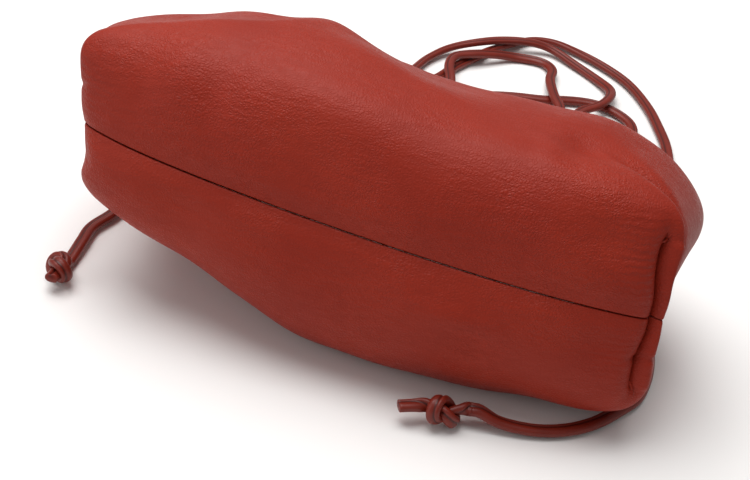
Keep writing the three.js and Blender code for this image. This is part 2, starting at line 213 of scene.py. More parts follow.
def tube_faces(rings: int, sides: int, closed: bool) -> Faces:
    """Quads between rings of points, each ring closed, and the last ring joined to the first where asked."""
    faces = []
    for n in range(rings if closed else rings - 1):
        after = (n + 1) % rings
        for k in range(sides):
            beside = (k + 1) % sides
            faces.append((n * sides + k, n * sides + beside, after * sides + beside, after * sides + k))
    return faces


def vertex_normals(points: Array, quads: Array) -> Array:
    """Outward directions at the points of a mesh of quads."""
    corners = points[quads]
    across = np.cross(corners[:, 2] - corners[:, 0], corners[:, 3] - corners[:, 1])
    total = np.zeros_like(points)
    for corner in range(4):
        np.add.at(total, quads[:, corner], across)
    return unit(total)


def seat(piece: Piece, slot: str, *nodes: str) -> None:
    """Makes a piece ride on the bag and hides the nodes that it stands for."""
    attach(piece, BODY)
    if nodes:
        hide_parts(*nodes)
    log.info("%s: %d faces", piece.name, len(piece.data.polygons))


# Materials


def linear(code: str) -> Four:
    """Turns an sRGB hex colour into Blender's linear one."""
    shares = [int(code[place : place + 2], 16) / 255 for place in (1, 3, 5)]
    return (*[s / 12.92 if s <= 0.04045 else ((s + 0.055) / 1.055) ** 2.4 for s in shares], 1.0)


def wire(tree: Tree, node: Node, inputs: Mapping[Any, Any]) -> None:
    """Gives a node's inputs, by name or number, their values, or links them to sockets."""
    for key, value in inputs.items():
        if isinstance(value, Socket):
            tree.links.new(value, node.inputs[key])
        else:
            node.inputs[key].default_value = value


def add(tree: Tree, kind: str, inputs: Optional[Mapping[Any, Any]] = None, **settings: Any) -> Node:
    """Adds a node.

    Args:
        tree: The node tree.
        kind: The node's type.
        inputs: Values, or sockets to link, by the input's name or number.
        settings: The node's own settings.

    Returns:
        The new node.
    """
    node = tree.nodes.new(kind)
    for name, value in settings.items():
        setattr(node, name, value)
    wire(tree, node, inputs or {})
    return node


class Shading:
    """A material under way, with short calls for the nodes that the finishes share. Each call returns the new
    node's socket, and sizes are in millimetres."""

    def __init__(self, name: str) -> None:
        """Starts the material with its shader linked to its output."""
        self.material = bpy.data.materials.new(name)
        self.material.use_nodes = True
        self.tree = self.material.node_tree
        self.tree.nodes.clear()
        self.shader = add(self.tree, "ShaderNodeBsdfPrincipled")
        add(self.tree, "ShaderNodeOutputMaterial", {"Surface": self.shader.outputs["BSDF"]})
        self.place = add(self.tree, "ShaderNodeTexCoord").outputs["Object"]

    def texture(self, kind: str, size: float, place: Any, inputs: Mapping[str, Any], **settings: Any) -> Node:
        """A texture whose usual patch has this size, on the piece's own places unless others are given."""
        vector = self.place if place is None else place
        return add(self.tree, kind, {"Vector": vector, "Scale": 1 / (size * MM), **inputs}, **settings)

    def noise(self, size: float, detail: float, place: Any = None, output: str = "Fac", **more: float) -> Socket:
        """Soft noise."""
        return self.texture("ShaderNodeTexNoise", size, place, {"Detail": detail, **more}).outputs[output]

    def cells(self, size: float, place: Any = None) -> Socket:
        """How far it is to the edge of the nearest of many small cells."""
        cells = self.texture("ShaderNodeTexVoronoi", size, place, {}, feature="DISTANCE_TO_EDGE")
        return cells.outputs["Distance"]

    def stretched(self, place: Socket, share: float) -> Socket:
        """Places pressed together along the width of the bag, so that a pattern on them is drawn out along it."""
        return add(self.tree, "ShaderNodeMapping", {"Vector": place, "Scale": (share, 1.0, 1.0)}).outputs[0]

    def ranged(self, value: Any, low: float, high: float, out: Pair = (0.0, 1.0), **settings: Any) -> Socket:
        """A value moved from one range to another, which is out."""
        inputs = {"Value": value, 1: low, 2: high, 3: out[0], 4: out[1]}
        return add(self.tree, "ShaderNodeMapRange", inputs, **settings).outputs[0]

    def varied(self, value: Any, middle: float, less: float, more: float) -> Socket:
        """A roughness that a pattern varies: a low value gives less than the middle, a high one more."""
        return self.ranged(value, 0.0, 1.0, (middle - less, middle + more))

    def maths(self, operation: str, *values: Any) -> Socket:
        """One sum of numbers."""
        return add(self.tree, "ShaderNodeMath", dict(enumerate(values)), operation=operation).outputs[0]

    def vectors(self, operation: str, inputs: Mapping[Any, Any]) -> Socket:
        """One sum of vectors."""
        return add(self.tree, "ShaderNodeVectorMath", inputs, operation=operation).outputs[0]

    def mixed(self, share: Any, first: Any, second: Any) -> Socket:
        """Two colours mixed."""
        inputs = {"Factor": share, "A": first, "B": second}
        return add(self.tree, "ShaderNodeMix", inputs, data_type="RGBA").outputs["Result"]

    def marked(self, name: str) -> Socket:
        """A number that the piece's own points carry."""
        return add(self.tree, "ShaderNodeAttribute", attribute_name=name).outputs["Fac"]

    def relief(self, height: Any, strength: float, depth: float, under: Any = None) -> Socket:
        """Small relief of this depth, on top of other relief where there is some."""
        inputs = {"Height": height, "Strength": strength, "Distance": depth * MM}
        if under is not None:
            inputs["Normal"] = under
        return add(self.tree, "ShaderNodeBump", inputs).outputs[0]

    def dressed(self, **looks: Any) -> Finish:
        """Gives the shader its looks, by input name with low lines for spaces, and returns the material."""
        wire(self.tree, self.shader, {name.replace("_", " "): value for name, value in looks.items()})
        return self.material


@dataclass(frozen=True)
class GrainedLeather:
    """Full grain cowhide, drum dyed, softened by milling and given a thin semi matt coat.

    Milling raises small uneven pebbles with fine wrinkles between them, which catch the light as short bright
    dashes, while the colour stays even, with painted shade making it a little darker in the wrinkles and
    between the pebbles.
    """

    name: str = "milled_leather"
    colour: str = "#8C2617"
    # The colour of the painted shade in the low places of the grain
    deep: str = "#5A150C"
    light: str = "#962C1B"
    roughness: float = 0.42
    gloss: float = 0.17
    index: float = 1.48
    # Pebbles about 1.1 mm wide: real ones are 0.5 to 1 mm, drawn at the coarse end so that they show
    pebble: float = 1.1
    pebble_edge: float = 0.32
    pebble_share: float = 0.55
    wrinkle: float = 2.6
    wrinkle_draw: float = 0.32
    wrinkle_share: float = 0.55
    shake: Pair = (3.0, 1.6)
    patch: float = 24.0
    cloud: float = 45.0
    relief: float = 0.3
    # How strongly painted shade darkens the low places of the grain
    hollow: float = 0.16
    pucker: float = 7.36
    pucker_relief: float = 0.25

    def build(self) -> Finish:
        """Makes the material."""
        s = Shading(self.name)
        # The places are shaken a little, so that no pebble is regular
        size, reach = self.shake
        off = s.vectors("SUBTRACT", {0: s.noise(size, 2.0, output="Color"), 1: (0.5, 0.5, 0.5)})
        off = s.vectors("SCALE", {0: off, "Scale": reach * MM})
        shaken = s.vectors("ADD", {0: s.place, 1: off})
        dome = s.ranged(s.cells(self.pebble, shaken), 0.0, self.pebble_edge, interpolation_type="SMOOTHSTEP")
        # Wrinkles run along the width of the bag
        folds = s.noise(self.wrinkle, 3.0, s.stretched(shaken, self.wrinkle_draw), Roughness=0.6)
        crease = s.ranged(folds, 0.38, 0.62)
        strong = s.ranged(s.noise(self.patch, 2.0), 0.35, 0.65, (0.45, 1.0))
        height = s.maths("MULTIPLY", dome, self.pebble_share)
        height = s.maths("MULTIPLY_ADD", crease, self.wrinkle_share, height)
        height = s.maths("MULTIPLY", height, strong)
        grain = s.relief(height, 0.8, self.relief)
        # Fine puckers beside the corner seams, where the sewing draws the leather in
        bends = {"Distortion": 2.2, "Detail": 2.0}
        ripple = s.texture("ShaderNodeTexWave", self.pucker, shaken, bends, bands_direction="Z").outputs["Fac"]
        lift = s.maths("MULTIPLY", ripple, s.marked("pucker"))
        # Colour: soft clouds of the dye, with painted shade mixed in where the grain is low
        shade = s.ranged(s.noise(self.cloud, 3.0), 0.3, 0.7)
        dye = s.mixed(shade, linear(self.colour), linear(self.light))
        # Painted shade: the wrinkles and the gaps between the pebbles are mixed towards the deep colour
        hollow = s.ranged(height, 0.0, 0.6, (self.hollow, 0.0))
        return s.dressed(
            Base_Color=s.mixed(hollow, dye, linear(self.deep)),
            Roughness=s.varied(height, self.roughness, -0.12, -0.06),
            Normal=s.relief(lift, 1.0, self.pucker_relief, grain),
            Specular_IOR_Level=self.gloss,
            IOR=self.index,
        )


@dataclass(frozen=True)
class StrapLeather:
    """The same hide, skived, rolled and glued into a narrow strap: the pull smooths its grain and gives it a soft
    gloss along the ridges."""

    name: str = "rolled_strap_leather"
    colour: str = "#7E2618"
    # The darker tone of the soft clouds, and the colour of the painted shade in the groove
    deep: str = "#3C0E09"
    roughness: float = 0.4
    gloss: float = 0.34
    grain: float = 0.7
    relief: float = 0.08
    cloud: float = 6.0

    def build(self) -> Finish:
        """Makes the material."""
        s = Shading(self.name)
        # Soft clouds of a darker tone, and painted shade in the groove where the strap's two edges meet
        cloud = s.maths("MULTIPLY", s.noise(self.cloud, 3.0), 0.5)
        tone = s.maths("MAXIMUM", cloud, s.marked("groove"))
        return s.dressed(
            Base_Color=s.mixed(tone, linear(self.colour), linear(self.deep)),
            Normal=s.relief(s.cells(self.grain), 0.5, self.relief),
            Roughness=self.roughness,
            Specular_IOR_Level=self.gloss,
        )


@dataclass(frozen=True)
class SatinBrass:
    """Brass strip, brushed and lacquered, as on purse frames: warm and satin, with a faint brushing along it."""

    name: str = "satin_brass"
    colour: str = "#B08D57"
    roughness: float = 0.34
    brushing: float = 0.5
    relief: float = 0.03

    def build(self) -> Finish:
        """Makes the material."""
        s = Shading(self.name)
        lines = s.noise(self.brushing, 2.0, s.stretched(s.place, 0.08))
        return s.dressed(
            Base_Color=linear(self.colour),
            Metallic=1.0,
            Roughness=s.varied(lines, self.roughness, 0.06, 0.08),
            Normal=s.relief(lines, 0.15, self.relief),
        )


@dataclass(frozen=True)
class BondedThread:
    """Waxed polyester thread in the colour of the leather: fine, round and slightly shiny."""

    name: str = "waxed_thread"
    colour: str = "#7A2C24"
    roughness: float = 0.45
    twist: float = 0.4
    relief: float = 0.05

    def build(self) -> Finish:
        """Makes the material."""
        s = Shading(self.name)
        normal = s.relief(s.noise(self.twist, 1.0), 0.3, self.relief)
        return s.dressed(Base_Color=linear(self.colour), Roughness=self.roughness, Normal=normal)


@dataclass(frozen=True)
class PaleBoard:
    """Matt white card of a small photo table: nearly white, with no visible texture."""

    name: str = "pale_board"
    colour: str = "#F3F1EF"
    roughness: float = 0.9
    tooth: float = 8.0

    def build(self) -> Finish:
        """Makes the material."""
        s = Shading(self.name)
        tooth = s.noise(self.tooth, 2.0)
        return s.dressed(Base_Color=linear(self.colour), Roughness=s.varied(tooth, self.roughness, 0.05, 0.05))


# The body of the pouch


@dataclass(frozen=True)
class Dent:
    """A soft dent: across and along are shares of the half width and of the length, the rest of the half
    thickness."""

    side: int
    across: float
    along: float
    depth: float
    wide: float
    deep: float


@dataclass(frozen=True)
class Swell:
    """A soft swelling of the leather, or a dent where its height is less than 0: its height, its middle and its
    reach across, along and through the body."""

    height: float
    middle: Spot
    reach: Spot


@dataclass(frozen=True)
class Crease:
    """A short sharp crease in the bottom, between two places measured from the middle of the seam."""

    start: Pair
    end: Pair
    depth: float
    width: float


@dataclass(frozen=True)
class GussetFold:
    """A swelling of the end gusset: its place and width across it, and how far out, in half thicknesses."""

    place: float
    width: float
    out: float


@dataclass(frozen=True)
class EndSwell:
    """How far a part of the right end stands out, its place and width behind the corner seam, then up the end."""

    out: float
    behind: float
    wide: float
    level: float
    tall: float


@dataclass
class PouchForm:
    """The outer form of the pouch as it lies. Places on it are named by shares a, b and c from -1 to 1: along the
    width, from the bottom to the mouth, and from the back to the front."""

    half_width: float = 112.0
    half_thickness: float = 50.0
    bottom_depth: float = 64.0
    length: float = 132.0
    mouth_half_width: float = 84.0
    mouth_half_thickness: float = 13.0
    collar: float = 9.0
    mouth_drop: float = 17.0
    mouth_sag: float = 8.0
    end_drop: float = 4.0
    lean: float = 7.0
    seam_height: float = 61.0
    floor_round: float = 5.0
    seam_valley: Pair = (1.4, 5.0)
    corner_valley: Pair = (4.5, 6.0)
    corner_fade: Pair = (0.4, 0.6)
    gather_depth: float = 2.4
    gather_count: int = 7
    gather_span: Four = (0.5, 0.8, 0.14, 0.67)
    ear: Pair = (7.0, 0.35)
    belly_sag: Pair = (3.0, 0.6)
    gusset: Spot = (0.5, 0.9, 0.7)
    plan_box: Pair = (1.85, 1.2)
    side_box: float = 3.4
    dent_fade: float = 0.25
    edge_crowding: float = 0.45
    # Place as a share of the half width, then the fullness of the front and of the back
    fullness_table: tuple[Spot, ...] = (
        (-1.0, 0.92, 0.62),
        (-0.8, 0.92, 0.75),
        (-0.5, 0.96, 0.98),
        (-0.15, 1.00, 1.14),
        (0.25, 0.93, 1.14),
        (0.6, 0.96, 1.10),
        (0.85, 1.07, 1.08),
        (1.0, 1.04, 1.04),
    )
    dents: tuple[Dent, ...] = (
        Dent(1, 0.55, 0.22, 0.05, 0.5, 0.28),
        Dent(1, -0.1, 0.6, 0.06, 0.7, 0.4),
        Dent(-1, 0.8, 0.05, 0.04, 0.25, 0.2),
        Dent(1, -0.75, 0.42, 0.05, 0.3, 0.5),
    )
    gusset_folds: tuple[GussetFold, ...] = (GussetFold(0.5, 0.28, 0.16), GussetFold(-0.1, 0.25, -0.18))
    # Finer relief that only the leather's face has: depth and width, unless a comment says otherwise
    seam_groove: Pair = (0.7, 0.3)
    seam_sag: Spot = (3.2, 28.0, 0.3)
    corner_groove: Pair = (4.8, 0.8)
    corner_ends: Pair = (0.43, 0.04)
    # Height, place and width of the rolled edge beside the right corner seam, then of the valley behind it
    corner_roll: Spot = (1.3, 6.5, 4.0)
    roll_valley: Spot = (7.0, 21.0, 7.0)
    # Where up the end the valley starts and stops, and how softly
    valley_levels: Spot = (0.02, 0.62, 0.2)
    # Depth and width of the pit at the top of the slit, then its place up the end and its reach there
    corner_pit: Four = (3.4, 1.6, 0.41, 0.06)
    left_corner_at: float = 7.0
    # Shares of the broad corner valleys that are filled up, right and left
    valley_filled: Pair = (0.4, 0.9)
    squared_right: Spot = (5.2, 22.0, 0.33)
    right_swells: tuple[EndSwell, ...] = (
        EndSwell(3.0, 10.0, 7.0, 0.5, 0.32),
        EndSwell(2.6, 13.0, 11.0, -0.42, 0.26),
    )
    squared_left: Four = (2.4, 14.0, 0.35, 0.45)
    left_end_draw: Spot = (2.5, 26.0, 14.0)
    left_low_draw: Spot = (3.0, 0.4, 0.28)
    left_low_from: Pair = (0.3, 0.4)
    swells: tuple[Swell, ...] = (
        Swell(-2.1, (-105, 62, 40), (14, 30, 45)),
        Swell(3.2, (-36, 67, 45), (13, 40, 45)),
        Swell(-2.4, (14, 67, 45), (24, 40, 45)),
        Swell(3.3, (73, 67, 45), (15, 40, 45)),
        Swell(-4.4, (-60, 14, -40), (17, 25, 38)),
        Swell(-1.4, (-32, 16, -40), (14, 25, 38)),
        Swell(-2.9, (66, 16, -40), (20, 25, 38)),
        Swell(-2.0, (71, 34, 45), (8, 7, 20)),
        Swell(1.1, (60, 24, 42), (5, 12, 20)),
        Swell(1.2, (78, 11, 36), (14, 5, 12)),
        Swell(-1.5, (86, 5, 22), (13, 10, 7)),
        Swell(-1.8, (47, 0, -27), (10, 10, 6)),
        Swell(0.8, (40, 0, -17), (13, 10, 5)),
        Swell(-1.0, (-80, 6, 26), (6, 14, 12)),
        Swell(0.8, (-65, 8, 32), (6, 14, 12)),
        Swell(-0.9, (-53, 5, 29), (6, 14, 10)),
        Swell(-0.9, (-20, 20, 44), (16, 8, 20)),
        Swell(0.9, (5, 36, 48), (22, 9, 20)),
        # The dark fold of a further layer at the top left edge
        Swell(-1.8, (-24, 79, 44), (13, 3, 30)),
        Swell(3.6, (-22, 88, 40), (12, 6, 30)),
    )
    pleat_depth: float = 1.5
    pleats_a_gather: int = 3
    pleat_sharpness: float = 1.3
    # How far the pleats wander, over what length, and from where
    pleat_wander: Spot = (0.16, 9.0, 2.0)
    # The usual share of the full depth, how much it varies, and how fast from pleat to pleat
    pleat_uneven: Spot = (0.75, 0.35, 2.4)
    # Where on the way to the mouth the pleats start, how soon they are full, and how far from the side seams
    pleat_span: Spot = (0.52, 0.36, 0.5)
    # How soon the pleats calm down in the collar, and the share that is left there
    collar_pleats: Pair = (0.05, 0.3)
    # Faint waves all over: height, usual length, how many are summed, seed, and how far they keep off the seam
    faint_waves: tuple[float, float, int, int, float] = (0.5, 38.0, 9, 5, 8.0)
    creases: tuple[Crease, ...] = (
        Crease((97.0, -15.5), (108.5, -13.5), 0.9, 1.1),
        Crease((-108.0, 12.0), (-100.0, 14.0), 0.6, 1.2),
    )
    # Off the corner seam: where the puckers start and how soon they are full, where they stop and how soon
    pucker_span: Four = (34.0, 26.0, 2.0, 3.0)
    # Up the end: place, width and strength
    pucker_levels: tuple[Spot, ...] = ((0.32, 0.2, 1.0), (-0.25, 0.2, 0.45))
    pucker_left: float = 0.5

    @property
    def upper_length(self) -> float:
        """How far it is from the widest place to the mouth."""
        return self.length - self.bottom_depth

    @property
    def collar_start(self) -> float:
        """Where the straight collar starts, as a share of the way to the mouth."""
        return 1 - self.collar / self.upper_length

    @property
    def lie(self) -> tuple[Array, Array]:
        """The turn and the shift of the body as it lies."""
        over = Matrix.Rotation(math.radians(self.end_drop), 3, "Y")
        turn = over @ Matrix.Rotation(-math.radians(self.mouth_drop), 3, "X")
        return np.array(turn), np.array([0.0, 0.0, self.seam_height])

    def fullness(self, place: Array, column: int) -> Array:
        """A smooth curve through one column of the fullness table."""
        table = np.array(self.fullness_table)
        knots, values = table[:, 0], table[:, column]
        slopes = np.zeros(len(knots))
        slopes[1:-1] = (values[2:] - values[:-2]) / (knots[2:] - knots[:-2])
        x = np.clip(place, knots[0], knots[-1])
        i = np.clip(np.searchsorted(knots, x, side="right") - 1, 0, len(knots) - 2)
        span = knots[i + 1] - knots[i]
        t = (x - knots[i]) / span
        rise = t * t * (3 - 2 * t)
        bend = span * (slopes[i] * t * (1 - t) ** 2 + slopes[i + 1] * t * t * (t - 1))
        return values[i] * (1 - rise) + values[i + 1] * rise + bend

    def plain(self, shares: Array) -> tuple[Array, Array, Array]:
        """The plain form, before seams and folds.

        Args:
            shares: Rows of a, b and c.

        Returns:
            The places with y 0 at the bottom seam, the matching points of a unit ball, and how far up each is.
        """
        a, b, c = shares.T
        low = np.minimum(b, 0)

        def around(p: Array, q: Array, r: Array) -> Array:
            """One coordinate of the unit ball for a point of the unit cube."""
            return p * np.sqrt(1 - q * q / 2 - r * r / 2 + q * q * r * r / 3)

        ball = np.stack([around(a, low, c), around(low, a, c), around(c, a, low)], 1)
        flat = np.hypot(ball[:, 0], ball[:, 1])
        reach = (np.abs(ball[:, 2]) ** self.side_box + flat**self.side_box) ** (-1 / self.side_box)
        above = np.maximum(b, 0) / self.collar_start
        up = smooth(above)
        rounded = 1 - np.cos(np.minimum(above, 1) * math.pi / 2)
        half_width = lerp(self.half_width, self.mouth_half_width, up)
        half_thickness = lerp(self.half_thickness, self.mouth_half_thickness, rounded)
        safe = np.maximum(flat, 1e-9)
        out = flat * reach
        x = half_width * boxed(ball[:, 0] / safe, self.plan_box[0]) * out
        y = self.bottom_depth * boxed(ball[:, 1] / safe, self.plan_box[1]) * out
        y = np.where(b > 0, self.upper_length * b, y)
        z = half_thickness * ball[:, 2] * reach
        full = np.where(z > 0, self.fullness(x / self.half_width, 1), self.fullness(x / self.half_width, 2))
        z = z * lerp(full, 1.0, up)
        from_corner = np.sqrt((np.abs(a) - 1) ** 2 + (b + 1) ** 2 + (np.abs(c) - 1) ** 2)
        x = x + np.sign(a) * self.ear[0] * bell(from_corner, self.ear[1])
        below = np.minimum(np.maximum(-ball[:, 2], 0) / self.belly_sag[1], 1)
        facing = np.maximum(-ball[:, 1], 0)
        y = y - self.belly_sag[0] * np.sin(below * math.pi / 2) * facing * (1 - ball[:, 0] ** 4)
        starts, full_at, low_end = self.gusset
        at_end = smooth((np.abs(ball[:, 0]) - starts) / (full_at - starts))
        at_end = at_end * (1 - smooth(-ball[:, 1] / low_end)) * (1 - up)
        for fold in self.gusset_folds:
            swell = fold.out * self.half_thickness * bell(ball[:, 2] - fold.place, fold.width)
            x = x + np.sign(a) * at_end * swell
        return np.stack([x, y + self.bottom_depth, z - self.mouth_sag * up], 1), ball, up

    def off_corner(self, ball: Array) -> Array:
        """How far a place is from the corner seam: less than 0 on the bottom, more on the end."""
        return (np.abs(ball[:, 0]) + ball[:, 1]) * self.half_width * math.sqrt(0.5)

    def by_corner(self, ball: Array) -> Array:
        """The broad valley along the corner seams, from 0 to 1."""
        fades, gone = self.corner_fade
        along = 1 - smooth((np.abs(ball[:, 2]) - fades) / (gone - fades))
        return bell(self.off_corner(ball), self.corner_valley[1]) * along

    def broad_depth(self, shares: Array, place: Array, ball: Array, up: Array) -> Array:
        """How far the wall lies under the plain form: seams, corner seams, dents and gathers."""
        way = place[:, 1] / self.length
        off_seam = place[:, 2] + self.mouth_sag * up
        depth = self.seam_valley[0] * bell(off_seam, self.seam_valley[1]) * (1 - up)
        depth = depth + np.where(shares[:, 1] <= 0, self.corner_valley[0] * self.by_corner(ball), 0)
        near_seam = smooth(np.abs(ball[:, 2]) / self.dent_fade)
        for dent in self.dents:
            across = (place[:, 0] - dent.across * self.half_width) / (dent.wide * self.half_thickness)
            along = (way - dent.along) * self.length / (dent.deep * self.half_thickness)
            hollow = dent.depth * self.half_thickness * bell(np.hypot(across, along), 1) * near_seam
            depth = depth + np.where(np.sign(shares[:, 2]) == dent.side, hollow, 0)
        # The broad gathers: deepest in their valleys, and fading out in the collar
        starts, full, fade, side = self.gather_span
        gathered = smooth((way - starts) / (full - starts)) * smooth(np.abs(shares[:, 2]) / side)
        gathered = gathered * (1 - smooth(1 + (shares[:, 1] - self.collar_start) / fade))
        wave = (1 + np.cos(place[:, 0] / self.half_width * self.gather_count * math.pi)) / 2
        return depth + self.gather_depth * gathered * wave

    def fine_depth(self, shares: Array, place: Array, ball: Array, up: Array) -> Array:
        """The finer relief of the leather's face: sewn grooves, the corner seams, pleats, creases and swells."""
        way = place[:, 1] / self.length
        off_seam = np.abs(place[:, 2] + self.mouth_sag * up)
        depth = self.seam_groove[0] * np.exp(-off_seam / self.seam_groove[1])
        depth = depth + self.corner_relief(shares, ball)
        near_seam = smooth(np.abs(ball[:, 2]) / self.dent_fade)
        for swell in self.swells:
            off = (place - swell.middle) / swell.reach
            depth = depth - swell.height * np.exp(-np.sum(off**2, axis=1)) * near_seam
        # Sharp pleats between the broad gathers, each a little deeper or shallower than the next
        turn = place[:, 0] / self.half_width * self.gather_count / 2 * self.pleats_a_gather
        far, over, start = self.pleat_wander
        turn = turn + far * np.sin(place[:, 0] / over + start)
        usual, varies, pace = self.pleat_uneven
        uneven = usual + varies * np.sin(np.round(turn) * pace + np.sign(shares[:, 2]))
        valley = (1 - np.abs(np.sin(math.pi * (turn + 0.5)))) ** self.pleat_sharpness
        starts, rise, side = self.pleat_span
        pull = smooth((way - starts) / rise) * smooth(np.abs(shares[:, 2]) / side)
        in_collar = smooth((shares[:, 1] - self.collar_start) / self.collar_pleats[0])
        depth = depth + self.pleat_depth * valley * uneven * pull * lerp(1.0, self.collar_pleats[1], in_collar)
        for crease in self.creases:
            start, end = np.array(crease.start), np.array(crease.end)
            spot = place[:, [0, 2]] - start
            share = np.clip(spot @ (end - start) / np.sum((end - start) ** 2), 0, 1)
            off = np.linalg.norm(spot - share[:, None] * (end - start), axis=1)
            fade = np.sin(math.pi * np.clip(share, 0.02, 0.98)) ** 0.5
            depth = depth + np.where(ball[:, 1] < -0.3, crease.depth * bell(off, crease.width) * fade, 0)
        height, length, count, seed, quiet = self.faint_waves
        return depth + height * waves(place, length, count, seed) * smooth(off_seam / quiet) * (1 - in_collar)

    def corner_relief(self, shares: Array, ball: Array) -> Array:
        """The relief along the corner seams. The right one is a slit beside a rolled edge, with a valley behind
        it; the left one is drawn flat and lies just round the end."""
        level = ball[:, 2]
        right = ball[:, 0] > 0
        starts, fade = self.corner_ends
        on_seam = 1 - smooth((np.abs(level) - starts) / fade)
        off = self.off_corner(ball) - np.where(right, 0, self.left_corner_at)
        groove = self.corner_groove[0] * np.exp(-np.abs(off) / self.corner_groove[1]) * on_seam
        raised, roll_at, roll_wide = self.corner_roll
        sunk, valley_at, valley_wide = self.roll_valley
        starts, stops, fade = self.valley_levels
        beside = smooth((level - starts) / fade) * (1 - smooth((level - stops) / fade))
        roll = sunk * bell(off - valley_at, valley_wide) * beside
        roll = roll - raised * bell(off - roll_at, roll_wide) * on_seam
        deeper, pit_wide, pit_at, pit_long = self.corner_pit
        roll = roll + deeper * bell(off, pit_wide) * bell(level - pit_at, pit_long)
        filled = self.corner_valley[0] * self.by_corner(ball) * np.where(right, *self.valley_filled)
        return np.where(shares[:, 1] <= 0, groove + np.where(right, roll, 0) - filled, 0)

    def drift(self, place: Array, ball: Array, up: Array) -> Array:
        """How the finer form is moved along its own face: the ends are squarer, and the bottom seam sags."""
        corner, level = self.off_corner(ball), ball[:, 2]
        far, reach, tall = self.squared_right
        right = far * bell(corner, reach) * bell(level, tall)
        for part in self.right_swells:
            right = right + part.out * bell(corner - part.behind, part.wide) * bell(level - part.level, part.tall)
        far, reach, low_end, tall = self.squared_left
        drawn, drawn_at, drawn_wide = self.left_end_draw
        left = drawn * bell(corner - drawn_at, drawn_wide)
        left = left - far * bell(corner, reach) * smooth((level + low_end) / tall)
        drawn, drawn_at, drawn_wide = self.left_low_draw
        starts, rise = self.left_low_from
        left = left + drawn * bell(level + drawn_at, drawn_wide) * smooth((-ball[:, 0] - starts) / rise)
        low, near, fade = self.seam_sag
        sag = low * bell(place[:, 2], near) * (1 - (place[:, 0] / self.half_width) ** 2)
        sag = sag * smooth(-ball[:, 1] / fade)
        return np.stack([np.where(ball[:, 0] > 0, right, left) * (1 - up), np.zeros(len(place)), -sag], 1)

    def pucker(self, ball: Array) -> Array:
        """Where the leather puckers beside the corner seams, from 0 to 1."""
        corner = self.off_corner(ball)
        starts, rise, stops, fall = self.pucker_span
        beside = smooth((corner + starts) / rise) * (1 - smooth((corner + stops) / fall))
        level = sum(strong * bell(ball[:, 2] - at, wide) for at, wide, strong in self.pucker_levels)
        return beside * level * np.where(ball[:, 0] > 0, 1.0, self.pucker_left)

    def lay(self, place: Array, up: Array) -> Array:
        """Turns places into the row frame as the bag lies, with the leather pressed flat onto the floor."""
        turn, shift = self.lie
        laid = place.copy()
        laid[:, 0] -= math.tan(math.radians(self.lean)) * place[:, 2] * (1 - up)
        laid = laid @ turn.T + shift
        z = laid[:, 2]
        soft = self.floor_round * (1 - up)
        pressed = np.where(z <= -soft, 0.0, (z + soft) ** 2 / np.maximum(4 * soft, 1e-9))
        laid[:, 2] = np.where(z >= soft, z, pressed)
        return laid + ROW_SHIFT

    def mouth_place(self, places: Array) -> Array:
        """Turns places in the frame of the sunken mouth into the row frame."""
        turn, shift = self.lie
        return (np.asarray(places, float) - [0, 0, self.mouth_sag]) @ turn.T + shift + ROW_SHIFT


